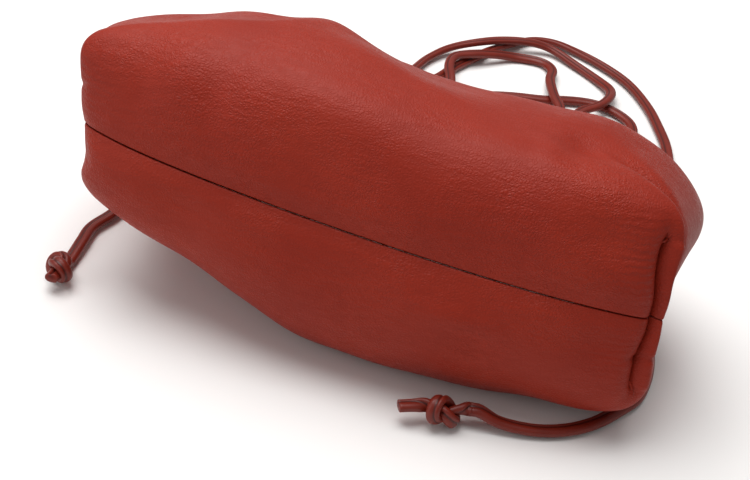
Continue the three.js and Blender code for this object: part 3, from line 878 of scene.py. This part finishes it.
@dataclass
class PouchBody:
    """The two leather panels, sewn along the bottom and the sides and gathered at the mouth."""

    form: PouchForm
    wall: float = 1.8
    # How much of the fine relief the inside doesn't follow
    wall_give: float = 0.9
    seam_gap: float = 0.12
    # Steps of the grid from the middle: across, down to the bottom, up to the mouth, and through
    steps: tuple[int, int, int, int] = (80, 46, 58, 58)
    # How many times closer the steps are at the bottom and the ends, and at the seam
    closer: Pair = (3.0, 4.0)
    closer_reach: float = 0.03
    flat: Pair = (0.26, 0.18)
    stitch_length: float = 2.4
    stitch_pitch: float = 3.2
    stitch_width: float = 0.55
    stitch_in: float = 3.4
    stitch_lift: float = 0.05

    def graded(self, steps: int, dense_low: float, dense_high: float) -> Array:
        """Shares from 0 to 1, closer together near either end.

        Args:
            steps: How many steps there are.
            dense_low: How many times closer the steps are near 0.
            dense_high: The same near 1.

        Returns:
            The shares, with 0 and 1 among them.
        """
        line = np.linspace(0, 1, 2001)
        near_low, near_high = (np.exp(-off / self.closer_reach) for off in (line, 1 - line))
        rate = 1 + (dense_low - 1) * near_low + (dense_high - 1) * near_high
        way = np.concatenate([[0], np.cumsum((rate[1:] + rate[:-1]) / 2)])
        return np.interp(np.linspace(0, way[-1], steps + 1), way, line)

    def spread(self, share: Array) -> Array:
        """The same crowding towards the edges that the solids' grid has."""
        return lerp(share, np.sin(share * math.pi / 2), self.form.edge_crowding)

    def lattice(self, side: Side) -> tuple[Array, Array]:
        """The panel's grid on the surface of a cube.

        Args:
            side: Which panel.

        Returns:
            Rows of whole-number places (i, j, k), and quads of their row numbers that face out.
        """
        n, m, u, t = self.steps

        def patch(fixed: int, value: int, first: range, second: range, flip: bool) -> Array:
            """Corners of the cells of one face of the cube."""
            p, q = np.meshgrid(np.array(first), np.array(second), indexing="ij")
            p, q = p.ravel(), q.ravel()
            corners = [(p, q), (p + 1, q), (p + 1, q + 1), (p, q + 1)]
            if flip:
                corners.reverse()
            free = [axis for axis in range(3) if axis != fixed]
            cells = np.zeros((len(p), 4, 3), int)
            for number, corner in enumerate(corners):
                cells[:, number, fixed] = value
                cells[:, number, free[0]], cells[:, number, free[1]] = corner
            return cells

        across, along = range(-n, n), range(-m, u)
        through = range(0, t) if side is Side.FRONT else range(-t, 0)
        cells = np.concatenate([
            patch(1, -m, across, through, False),
            patch(2, side.value * t, across, along, side is Side.BACK),
            patch(0, n, along, through, False),
            patch(0, -n, along, through, True),
        ])
        rows, places = np.unique(cells.reshape(-1, 3), axis=0, return_inverse=True)
        return rows, places.reshape(-1, 4)

    def shares(self, rows: Array) -> Array:
        """The shares a, b and c of the grid's places."""
        i, j, k = rows.T
        n, m, u, t = self.steps
        edge, seam = self.closer
        a = np.sign(i) * self.spread(self.graded(n, 1.0, edge)[np.abs(i)])
        low = -self.spread(self.graded(m, 1.0, edge)[np.clip(-j, 0, None)])
        high = self.graded(u, 1.0, 1.0)[np.clip(j, 0, None)]
        c = np.sign(k) * self.spread(self.graded(t, seam, 1.0)[np.abs(k)])
        return np.stack([a, np.where(j < 0, low, high), c], 1)

    def surface(self, rows: Array, quads: Array, slack: float) -> tuple[Array, Array]:
        """The laid surface and its pucker.

        Args:
            rows: The grid's places.
            quads: Its faces.
            slack: How much of the fine relief is left out, as the inside follows only the deeper part.

        Returns:
            The places in the row frame, and how strongly each puckers.
        """
        form = self.form
        shares = self.shares(rows)
        place, ball, up = form.plain(shares)
        fine = form.fine_depth(shares, place, ball, up)
        depth = form.broad_depth(shares, place, ball, up) + fine - np.clip(fine, -slack, slack)
        sunk = place - vertex_normals(place, quads) * depth[:, None] + form.drift(place, ball, up)
        return form.lay(sunk, up), form.pucker(ball)

    def panel(self, side: Side, finish: Finish) -> Piece:
        """Makes one panel as a closed leather wall."""
        rows, quads = self.lattice(side)
        outer, pucker = self.surface(rows, quads, 0.0)
        broad, _ = self.surface(rows, quads, self.wall_give)
        inner = broad - vertex_normals(broad, quads) * self.wall
        turn, _ = self.form.lie
        apart = np.where(rows[:, 2] == 0, side.value * self.seam_gap / 2, 0)[:, None] * turn[:, 2]
        count = len(rows)
        edges = np.concatenate([quads[:, [n, (n + 1) % 4]] for n in range(4)])
        paired = set(map(tuple, edges.tolist()))
        rim = [(q, p, p + count, q + count) for p, q in paired if (q, p) not in paired]
        faces = [*quads.tolist(), *(quads[:, ::-1] + count).tolist(), *rim]
        points = np.concatenate([outer + apart, inner + apart])
        piece = mesh_object(f"{side.name.lower()}_leather", points, faces, finish)
        mark(piece, "pucker", np.concatenate([pucker, np.zeros(count)]))
        return piece

    def collar_line(self, side: Side, share: float, lift: float, ends: int = 24, across: int = 160) -> Array:
        """A line on the collar from one side seam to the other.

        Args:
            side: Which panel.
            share: How far along the way to the mouth it runs.
            lift: How far it stands off the leather.
            ends: How many places it has on each end.
            across: How many places it has between them.

        Returns:
            Places in the row frame.
        """
        form = self.form
        rise = np.linspace(0.12, 1, ends) * side.value
        a = np.concatenate([np.full(ends, -1.0), np.linspace(-1, 1, across), np.full(ends, 1.0)])
        c = np.concatenate([rise, np.full(across, float(side.value)), rise[::-1]])
        shares = np.stack([a, np.full(len(a), share), c], 1)
        place, ball, up = form.plain(shares)
        depth = form.broad_depth(shares, place, ball, up) + form.fine_depth(shares, place, ball, up)
        away = place.copy()
        away[:, 1] = 0
        away[:, 2] += form.mouth_sag * up
        away = unit(away / [form.mouth_half_width, 1, form.mouth_half_thickness])
        return form.lay(place + away * (lift - depth)[:, None], up)

    def stitches(self, side: Side, thread: Finish) -> Piece:
        """Makes the row of stitches that holds the leather round the frame, with Geometry Nodes."""
        line = self.collar_line(side, 1 - self.stitch_in / self.form.upper_length, self.stitch_lift)
        mesh = bpy.data.meshes.new("stitch_line")
        mesh.from_pydata((line * MM).tolist(), [(n, n + 1) for n in range(len(line) - 1)], [])
        piece = link(f"{side.name.lower()}_collar_stitches", mesh)
        tree = bpy.data.node_groups.new("stitch_row", "GeometryNodeTree")
        face = tree.interface
        face.new_socket("Line", in_out="INPUT", socket_type="NodeSocketGeometry")
        sizes = {"Pitch": self.stitch_pitch, "Length": self.stitch_length, "Width": self.stitch_width}
        sockets = {
            name: face.new_socket(name, in_out="INPUT", socket_type="NodeSocketFloat").identifier for name in sizes
        }
        face.new_socket("Stitches", in_out="OUTPUT", socket_type="NodeSocketGeometry")
        given = add(tree, "NodeGroupInput").outputs
        curve = add(tree, "GeometryNodeMeshToCurve", {"Mesh": given["Line"]})
        even = {"Curve": curve.outputs[0], "Length": given["Pitch"]}
        bead = add(tree, "GeometryNodeMeshUVSphere", {"Segments": 8, "Rings": 6, "Radius": 0.5})
        way = {"Vector": add(tree, "GeometryNodeInputTangent").outputs[0]}
        size = {"X": given["Length"], "Y": given["Width"], "Z": given["Width"]}
        copies = add(tree, "GeometryNodeInstanceOnPoints", {
            "Points": add(tree, "GeometryNodeResampleCurve", even, mode="LENGTH").outputs[0],
            "Instance": bead.outputs["Mesh"],
            "Rotation": add(tree, "FunctionNodeAlignRotationToVector", way, axis="X").outputs[0],
            "Scale": add(tree, "ShaderNodeCombineXYZ", size).outputs[0],
        })
        solid = add(tree, "GeometryNodeRealizeInstances", {0: copies.outputs[0]})
        dressed = add(tree, "GeometryNodeSetMaterial", {"Geometry": solid.outputs[0], "Material": thread})
        add(tree, "NodeGroupOutput", {0: dressed.outputs[0]})
        row = piece.modifiers.new("row", "NODES")
        row.node_group = tree
        for name, size in sizes.items():
            row[sockets[name]] = size * MM
        graph = bpy.context.evaluated_depsgraph_get()
        made = bpy.data.meshes.new_from_object(piece.evaluated_get(graph))
        piece.modifiers.clear()
        piece.data = made
        made.shade_smooth()
        return piece

    def build(self, leather: Finish, thread: Finish) -> None:
        """Makes the panels and their stitches."""
        for side in Side:
            piece = self.panel(side, leather)
            seat(piece, "pouch_leather", f"{side.name.lower()}_panel")
            seat(self.stitches(side, thread), "pouch_leather")


# The hidden frame


@dataclass
class MouthFrame:
    """The satin brass frame in the mouth, with an eye for the strap at each end."""

    form: PouchForm
    inset: float = 2.3
    band: float = 1.8
    stands_out: float = 3.5
    eye_bore: float = 7.0
    eye_rim: float = 3.0
    eye_thickness: float = 3.0
    clearance: float = 0.5
    corner: float = 0.5
    # A place this share of the corner's size in from its edge rounds the corner
    corner_cut: float = 0.3
    around: int = 240
    eye_steps: int = 48

    @property
    def end(self) -> float:
        """Where the frame ends, along the length of the bag."""
        return self.form.length + self.stands_out

    @property
    def eye_x(self) -> float:
        """How far out the middle of an eye is."""
        return self.form.mouth_half_width + self.clearance + self.eye_bore / 2 + self.eye_rim

    def outline(self, inset: float) -> Array:
        """The mouth's outline drawn in by a distance, as places across the body."""
        way = np.linspace(-1, 1, self.around // 4, endpoint=False)
        one = np.ones_like(way)
        a, c = np.concatenate([way, one, -way, -one]), np.concatenate([one, -way, -one, way])
        place, _, _ = self.form.plain(np.stack([a, np.ones(len(a)), c], 1))
        line = np.stack([place[:, 0], place[:, 2] + self.form.mouth_sag], 1)
        ahead = unit(np.roll(line, -1, 0) - np.roll(line, 1, 0))
        return line + inset * np.stack([ahead[:, 1], -ahead[:, 0]], 1)

    def ring(self) -> tuple[Array, Faces]:
        """The oval band: a rounded strip swept round the outline."""
        middle = self.outline(self.inset + self.band / 2)
        outside = unit(self.outline(0.0) - middle)
        r, half = self.corner, self.band / 2
        high, low = self.end - r, self.form.length - self.form.collar + r
        section = []
        centres = ((half - r, high), (r - half, high), (r - half, low), (half - r, low))
        for turn, (off, along) in enumerate(centres):
            for angle in np.radians(90 * turn + np.array([0, 30, 60, 90])):
                section.append((off + r * math.cos(angle), along + r * math.sin(angle)))
        points = [
            (x + out_x * off, along, z + out_z * off)
            for (x, z), (out_x, out_z) in zip(middle, outside)
            for off, along in section
        ]
        return np.array(points), tube_faces(len(middle), len(section), True)

    def eye(self, side: int) -> tuple[Array, Faces]:
        """One eye with its neck: a rounded plate with a bore, drawn across the body."""
        turn = np.linspace(-math.pi, math.pi, self.eye_steps, endpoint=False)
        ways = np.stack([np.cos(turn), np.sin(turn)], 1)
        hole = ways * self.eye_bore / 2 + [self.eye_x, 0]
        rim = np.array([self.meet(spot, way) for spot, way in zip(hole, ways)])
        inwards = unit(hole - rim)
        r, cut = self.corner, self.corner * self.corner_cut
        tiers = [(hole, r), (hole - inwards * cut, cut), (hole - inwards * r, 0)]
        tiers += [(rim + inwards * r, 0), (rim + inwards * cut, cut), (rim, r)]
        rings = [(line, self.end - down) for line, down in tiers]
        rings += [(line, self.end - self.eye_thickness + down) for line, down in reversed(tiers)]
        points = [(side * x, along, z) for line, along in rings for x, z in line]
        return np.array(points), tube_faces(len(rings), self.eye_steps, True)

    def meet(self, spot: Array, way: Array) -> Array:
        """Where a line from the bore meets the outline of the lug."""
        outer = self.eye_bore / 2 + self.eye_rim
        if way[0] >= 0:
            return np.array([self.eye_x, 0]) + way * outer
        root = self.form.mouth_half_width - self.inset - self.band / 2
        reaches = [(root - spot[0]) / way[0]]
        if abs(way[1]) > 1e-6:
            reaches.append((math.copysign(outer, way[1]) - spot[1]) / way[1])
        return spot + way * min(reaches)

    def build(self, brass: Finish) -> None:
        """Makes the frame as one piece."""
        points, faces = self.ring()
        for side in (-1, 1):
            more, more_faces = self.eye(side)
            faces = [*faces, *[tuple(n + len(points) for n in face) for face in more_faces]]
            points = np.concatenate([points, more])
        piece = mesh_object("brass_mouth_frame", self.form.mouth_place(points), faces, brass)
        face_out(piece)
        seat(piece, "frame_brass", "mouth_frame")


# The strap


@dataclass
class StrapStrip:
    """The strap's own section: a rolled strip, flattened, with a groove where its two edges meet on one face."""

    width: float = 5.0
    thickness: float = 3.3
    sides: int = 28
    bulk: float = 2.5
    # Depth, place as a share of the width, and width
    groove: Spot = (0.7, 0.14, 0.5)
    # Share by which a cut end is drawn in, and how far it stands out
    cut_end: Pair = (0.12, 0.15)

    def section(self) -> tuple[Array, Array]:
        """The section's points across and up, and how far each is in the groove."""
        angle = np.linspace(0, 2 * math.pi, self.sides, endpoint=False) + 0.5 * math.pi
        angle = angle + 0.05 * np.sin(2 * angle)
        across, up = (
            np.sign(part) * np.abs(part) ** (2 / self.bulk) * size / 2
            for part, size in ((np.cos(angle), self.width), (np.sin(angle), self.thickness))
        )
        depth, place, wide = self.groove
        inside = bell(across - place * self.width, wide) * (up > 0)
        return np.stack([across, up - depth * inside], 1), inside

    def rings(self, path: Array, normals: Array) -> Array:
        """The section set at each place of a path, its upper face turned the way of the normals."""
        ahead = unit(np.gradient(path, axis=0))
        upper = unit(normals - np.sum(normals * ahead, 1, keepdims=True) * ahead)
        beside = np.cross(ahead, upper)
        section, _ = self.section()
        return path[:, None] + beside[:, None] * section[None, :, :1] + upper[:, None] * section[None, :, 1:]

    def sweep(self, name: str, path: Array, normals: Array, finish: Finish) -> Piece:
        """Sweeps the section along a path.

        Args:
            name: The piece's name.
            path: Places of the centreline in the row frame.
            normals: The way that the strap's upper face looks at each of them.
            finish: The leather.

        Returns:
            The closed piece.
        """
        ahead = unit(np.gradient(path, axis=0))
        _, inside = self.section()
        rings = self.rings(path, normals)
        # The cut ends are drawn in a little, so that their edges are soft
        drawn, out = self.cut_end
        first = lerp(rings[0], path[0], drawn) - ahead[0] * out
        last = lerp(rings[-1], path[-1], drawn) + ahead[-1] * out
        rings = np.concatenate([[first], rings, [last]])
        count, sides = len(rings), self.sides
        faces = tube_faces(count, sides, False)
        faces += [tuple(range(sides))[::-1], tuple(range((count - 1) * sides, count * sides))]
        piece = mesh_object(name, rings.reshape(-1, 3), faces, finish)
        # How far each point is in the groove, which the strap's material darkens as painted shade
        mark(piece, "groove", np.tile(inside, count))
        face_out(piece)
        return piece


@dataclass
class TightKnot:
    """An overhand knot, pulled tight by moving its ends apart until its turns press on each other.

    Place is the knot's middle, and along is the way from there to the tail.
    """

    place: Spot
    along: Spot
    tail: float
    twist: float
    mirrored: bool
    reach: float = 9.5
    body: float = 6.4
    cord: float = 3.7
    # In cord widths: how far apart the places are, how near along the line two don't push, and where the ends are
    spacing: float = 0.22
    own: float = 1.6
    ends_at: float = 6.5
    ends_low: float = 1.2
    rounds: int = 450
    pushes: int = 3
    push: float = 0.8
    span: float = 0.62
    height: float = 1.5
    softened: int = 8
    # How far from the middle the strap's face starts to turn up, and over what way
    turns_up: Pair = (4.5, 7.0)

    def loose(self) -> Array:
        """The loose knot in cord widths: most of a trefoil, with its two ends led out along x."""
        t = np.linspace(math.pi + 0.5, 3 * math.pi - 0.5, 120)
        trefoil = [np.sin(t) + 2 * np.sin(2 * t), np.cos(t) - 2 * np.cos(2 * t), -self.height * np.sin(3 * t)]
        end, below = np.array([self.ends_at, 0.0, 0.0]), np.array([0.0, -self.ends_low, 0.0])
        turns = np.stack(trefoil, 1) * self.span
        return np.concatenate([[end, end * 0.6 + below], turns, [below - end * 0.6, -end]])

    def tighten(self, line: Array) -> Array:
        """Draws the line in while turns that touch push each other away, as pulling on both ends does."""
        line = resampled(line, self.spacing)
        for number in range(self.rounds):
            line[1:-1] += 0.5 * ((line[:-2] + line[2:]) / 2 - line[1:-1])
            for _ in range(self.pushes):
                order = np.arange(len(line))
                near = np.abs(order[:, None] - order[None]) * self.spacing < self.own
                apart = line[:, None] - line[None]
                far = np.linalg.norm(apart, axis=2)
                push = np.clip(1.0 - far, 0, None)
                push[near] = 0
                touching = np.maximum((push > 0).sum(1), 1)[:, None]
                away = apart / np.maximum(far, 1e-6)[..., None] * push[..., None]
                move = self.push * np.sum(away, axis=1) / touching
                move[0] = move[-1] = 0
                line = line + move
            if number % 5 == 4:
                line = resampled(line, self.spacing)
        return resampled(line, 0.1)

    def path(self, entry: Array) -> Array:
        """The knot's centreline in the row frame, from the strap's end to the cut tail."""
        entry, along = unit(entry), unit(np.array(self.along))
        line = self.tighten(self.loose())
        if self.mirrored:
            line[:, 2] = -line[:, 2]
        # Its own axis is turned to the ways that the ends take
        axis = Vector(unit(entry - along).tolist())
        turned = Vector((1, 0, 0)).rotation_difference(axis).to_matrix()
        turned = turned @ Matrix.Rotation(math.radians(self.twist), 3, "X")
        line = line @ np.array(turned).T * self.cord
        inner = line[(line @ entry < self.reach - 1.2) & (line @ along < self.body)]
        inner = inner - (inner[0] - entry * (inner[0] @ entry))
        rest = self.tail - inner[-1] @ along
        free = [inner[-1] + along * rest * share for share in (0.35, 0.7, 1.0)]
        whole = resampled(np.concatenate([[entry * self.reach], inner, free]), 0.35)
        soften(whole, self.softened)
        return spline(whole[[0, *range(3, len(whole) - 3, 3), -1]], 0.6) + np.array(self.place) + ROW_SHIFT

    def normals(self, path: Array) -> Array:
        """The strap's face looks away from the knot's middle, and up along the free ends."""
        away = path - (np.array(self.place) + ROW_SHIFT)
        ahead = unit(np.gradient(path, axis=0))
        flat = away - np.sum(away * ahead, 1, keepdims=True) * ahead
        starts, over = self.turns_up
        share = smooth((np.linalg.norm(away, axis=1) - starts) / over)[:, None]
        mixed = unit(flat) * (1 - share) + UP * share
        soften(mixed, 3 * self.softened)
        return mixed


@dataclass
class Strap:
    """One length of strap through both eyes of the frame, knotted at its two free ends. The routes were chosen
    over the floor, in the bag's own frame."""

    form: PouchForm
    frame: MouthFrame
    strip: StrapStrip = field(default_factory=StrapStrip)
    gap: float = 0.3
    straight: float = 10.0
    loops: tuple[Spot, ...] = (
        (-83, 150, 15), (-66, 170, 7), (-47, 198, 3), (-33, 222, 3), (-28, 243, 3), (-20, 258, 5), (-7, 268, 8.5),
        (4, 276, 9), (17, 282, 8.5), (28, 285, 5), (42, 277, 3), (56, 266, 3), (64, 256, 5), (65, 243, 8.5),
        (61, 231, 9), (54, 223, 8), (51, 213, 4), (58, 204, 3), (70, 204, 3), (80, 214, 3), (79, 228, 3),
        (70, 237, 3), (59, 240, 3), (47, 237, 3), (35, 231, 3), (21, 227, 3), (8, 221, 3), (3, 212, 3),
        (9, 203, 3), (23, 199, 3), (38, 204, 4), (45, 217, 8), (39, 231, 9), (34, 249, 7), (33, 263, 4),
        (27, 270, 3), (12, 268, 3), (4, 262, 6), (-6, 253, 9), (-15, 245, 9), (-15, 233, 9), (-11, 221, 8),
        (-9, 206, 3), (-16, 198, 3), (-24, 204, 3), (-22, 216, 3), (-17, 228, 3), (-13, 242, 3), (-7, 255, 3),
        (-1, 269, 3), (8, 282, 3), (17, 293, 3), (28, 296, 3), (40, 292, 3), (55, 284, 3), (71, 271, 3),
        (84, 251, 3), (92, 232, 3), (98, 214, 3), (101, 190, 3), (95, 162, 4),
    )
    left: tuple[Spot, ...] = (
        (-98, 106, 12), (-103, 90, 5), (-104, 70, 3), (-107, 46, 3), (-110, 34, 3), (-109, 24, 3.5),
    )
    right: tuple[Spot, ...] = (
        (100, 110, 6), (105, 94, 3), (107, 72, 3), (110, 50, 3), (110, 38, 3), (108, 27, 3), (103, 18, 3),
        (97, 9, 3), (90, 2, 3), (82, -3, 3), (74, -6, 3.5), (64, -8, 5.5),
    )
    left_knot: TightKnot = field(
        default_factory=lambda: TightKnot((-107, 1, 7), (0.1, -0.85, 0.3), 8.2, 75.0, False)
    )
    right_knot: TightKnot = field(
        default_factory=lambda: TightKnot((45, -10.5, 7), (-0.88, -0.48, 0.0), 16.5, 210.0, True)
    )
    # Heights along the routes, and what they become as the flat strap lies on the floor and on itself
    heights: tuple[Spot, Spot] = ((3, 9, 15), (2.3, 6.1, 15))
    # Size in degrees and length of the slow rolls, and over what way they fade and the face turns to meet the knot
    rolls: tuple[Pair, ...] = ((16, 210), (9, 90))
    roll_fade: float = 14.0
    turn_fade: float = 13.0
    loops_softened: int = 8
    knot_lift: float = 0.15
    lead: float = 2.5
    lies_at: float = 2.0
    step: float = 1.3
    loops_length: float = 0.99
    left_length: float = 0.127
    right_length: float = 0.18

    def through_eye(self, side: int, sign: int) -> Array:
        """The two places that lead a stretch straight out of an eye: ahead of the frame where the sign is 1, and
        behind it where it is -1."""
        middle = self.frame.end - self.frame.eye_thickness / 2
        ways = (sign * self.gap / 2, sign * self.straight)
        return self.form.mouth_place([(side * self.frame.eye_x, middle - way, 0.0) for way in ways])

    def on_floor(self, route: Sequence[Spot]) -> Array:
        """A route in the row frame, let down so that the flat strap lies on the floor and on itself."""
        line = np.array(route, float)
        line[:, 2] = np.interp(line[:, 2], *self.heights)
        return line + ROW_SHIFT

    def lying(self, path: Array, seed: int, meets: Optional[Array] = None) -> Array:
        """The way that the strap's face looks as it lies: mostly up, rolling a little along its length.

        Args:
            path: The strap's centreline.
            seed: Start of the random numbers.
            meets: The way that its face looks at its far end, where that joins a knot.

        Returns:
            A direction for each place.
        """
        way = run_lengths(path)
        rng = np.random.default_rng(seed)
        roll = sum(
            math.radians(size) * np.sin(way / length * 2 * math.pi + rng.uniform(0, 6))
            for size, length in self.rolls
        )
        roll = roll * smooth((way[-1] - way) / self.roll_fade)
        ahead = unit(np.gradient(path, axis=0))
        beside = unit(np.cross(ahead, UP))
        looks = np.cross(beside, ahead) * np.cos(roll)[:, None] + beside * np.sin(roll)[:, None]
        if meets is None:
            return looks
        return unit(lerp(looks, meets, smooth(1 - (way[-1] - way) / self.turn_fade)[:, None]))

    def stretch(self, name: str, path: Array, looks: Array, length: float, finish: Finish, **cord: Any) -> None:
        """Args:
            name: The stretch's name.
            path: Its centreline, from the eye on.
            looks: The way that its face looks.
            length: Its real length in metres; not used.
            finish: The leather.
            cord: What else is said of the cord; not used.
        """
        piece = self.strip.sweep(f"strap_{name}_leather", path, looks, finish)
        seat(piece, "strap_leather", f"strap_{name}" if name == "loops" else f"strap_{name}_end")

    def build(self, finish: Finish) -> None:
        """Makes the three stretches and the two knots."""
        loops = [self.through_eye(-1, -1), self.on_floor(self.loops), self.through_eye(1, -1)[::-1]]
        path = spline(np.concatenate(loops), self.step)
        soften(path, self.loops_softened, 4)
        self.stretch("loops", path, self.lying(path, 3), self.loops_length, finish, far_end="object")
        ends = (
            (-1, "left", self.left, self.left_knot, self.left_length),
            (1, "right", self.right, self.right_knot, self.right_length),
        )
        for side, name, route, knot, length in ends:
            tied = knot.path(np.array(route[-1], float) - np.array(knot.place, float))
            looks = knot.normals(tied)
            # The knot is let down until it rests on the floor
            tied[:, 2] += self.knot_lift - self.strip.rings(tied, looks)[..., 2].min()
            knotted = self.strip.sweep(f"strap_{name}_tied", tied, looks, finish)
            seat(knotted, "strap_leather", f"strap_{name}_knot")
            lead = tied[0] + unit(tied[0] - tied[3]) * self.lead
            lead[2] = max(lead[2], self.lies_at)
            points = np.concatenate([self.through_eye(side, 1), self.on_floor(route), [lead, tied[1]]])
            path = spline(points, self.step)
            lying = self.lying(path, 7 + side, looks[1])
            self.stretch(name, path, lying, length, finish, far_end="knot", with_pieces=[knotted])


# The studio


@dataclass
class Studio:
    """The camera at the photograph's angle, the pale board and the soft lights."""

    azimuth: float = 11.5
    elevation: float = 35.0
    roll: float = 9.2
    distance: float = 450.0
    target: Spot = (12.03, -60.83, 58.0)
    lens: float = 64.8
    world: float = 0.3
    # Power and side of each light, in watts and metres, then its place and the place that it points at
    lights: tuple[tuple[str, float, float, Spot, Spot], ...] = (
        ("overhead", 12.6, 0.9, (-0.22, 0.15, 0.95), (0.0, 0.0, 0.05)),
        ("front", 3.0, 0.8, (-1.1, -0.75, 0.6), (0.0, 0.0, 0.03)),
    )
    board_reach: float = 3000.0
    board_drop: float = 0.3

    def camera(self) -> None:
        """Sets the camera."""
        a, e, r = (math.radians(angle) for angle in (self.azimuth, self.elevation, self.roll))
        back = Vector((math.sin(a) * math.cos(e), -math.cos(a) * math.cos(e), math.sin(e)))
        level = Vector((math.cos(a), math.sin(a), 0))
        upright = back.cross(level)
        right = level * math.cos(r) + upright * math.sin(r)
        up = upright * math.cos(r) - level * math.sin(r)
        data = bpy.data.cameras.new("camera")
        data.lens = self.lens
        data.sensor_width = 36
        data.clip_start, data.clip_end = 0.02, 20
        place = (Vector(self.target) + back * self.distance) * MM
        camera = link("camera", data)
        camera.matrix_world = Matrix.Translation(place) @ Matrix((right, up, back)).transposed().to_4x4()
        bpy.context.scene.camera = camera

    def build(self, board: Finish) -> None:
        """Makes the board, the lights and the world."""
        far, down = self.board_reach, -self.board_drop
        points = np.array([[-far, -far, down], [far, -far, down], [far, far, down], [-far, far, down]])
        mesh_object("board", points, [(0, 1, 2, 3)], board)
        for name, power, side, place, aim in self.lights:
            data = bpy.data.lights.new(name, "AREA")
            data.size, data.energy = side, power
            light = link(name, data)
            light.location = place
            light.rotation_mode = "QUATERNION"
            light.rotation_quaternion = (Vector(aim) - Vector(place)).to_track_quat("-Z", "Y")
        world = bpy.data.worlds.new("studio")
        world.use_nodes = True
        wire(world.node_tree, world.node_tree.nodes["Background"], {"Color": (1, 1, 1, 1), "Strength": self.world})
        bpy.context.scene.world = world
        bpy.context.scene.view_settings.view_transform = "Standard"


def corners(box: tuple[Vector, Vector]) -> list[list[float]]:
    """A box as plain lists."""
    return [list(corner) for corner in box]


def main() -> None:
    """Builds the pouch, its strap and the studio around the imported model."""
    logging.basicConfig(level=logging.INFO, format="%(name)s %(message)s", force=True)
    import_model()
    studio = Studio()
    studio.camera()
    form = PouchForm()
    frame = MouthFrame(form)
    Strap(form, frame).build(StrapLeather().build())
    PouchBody(form).build(GrainedLeather().build(), BondedThread().build())
    frame.build(SatinBrass().build())
    studio.build(PaleBoard().build())


if __name__ == "__main__":
    main()
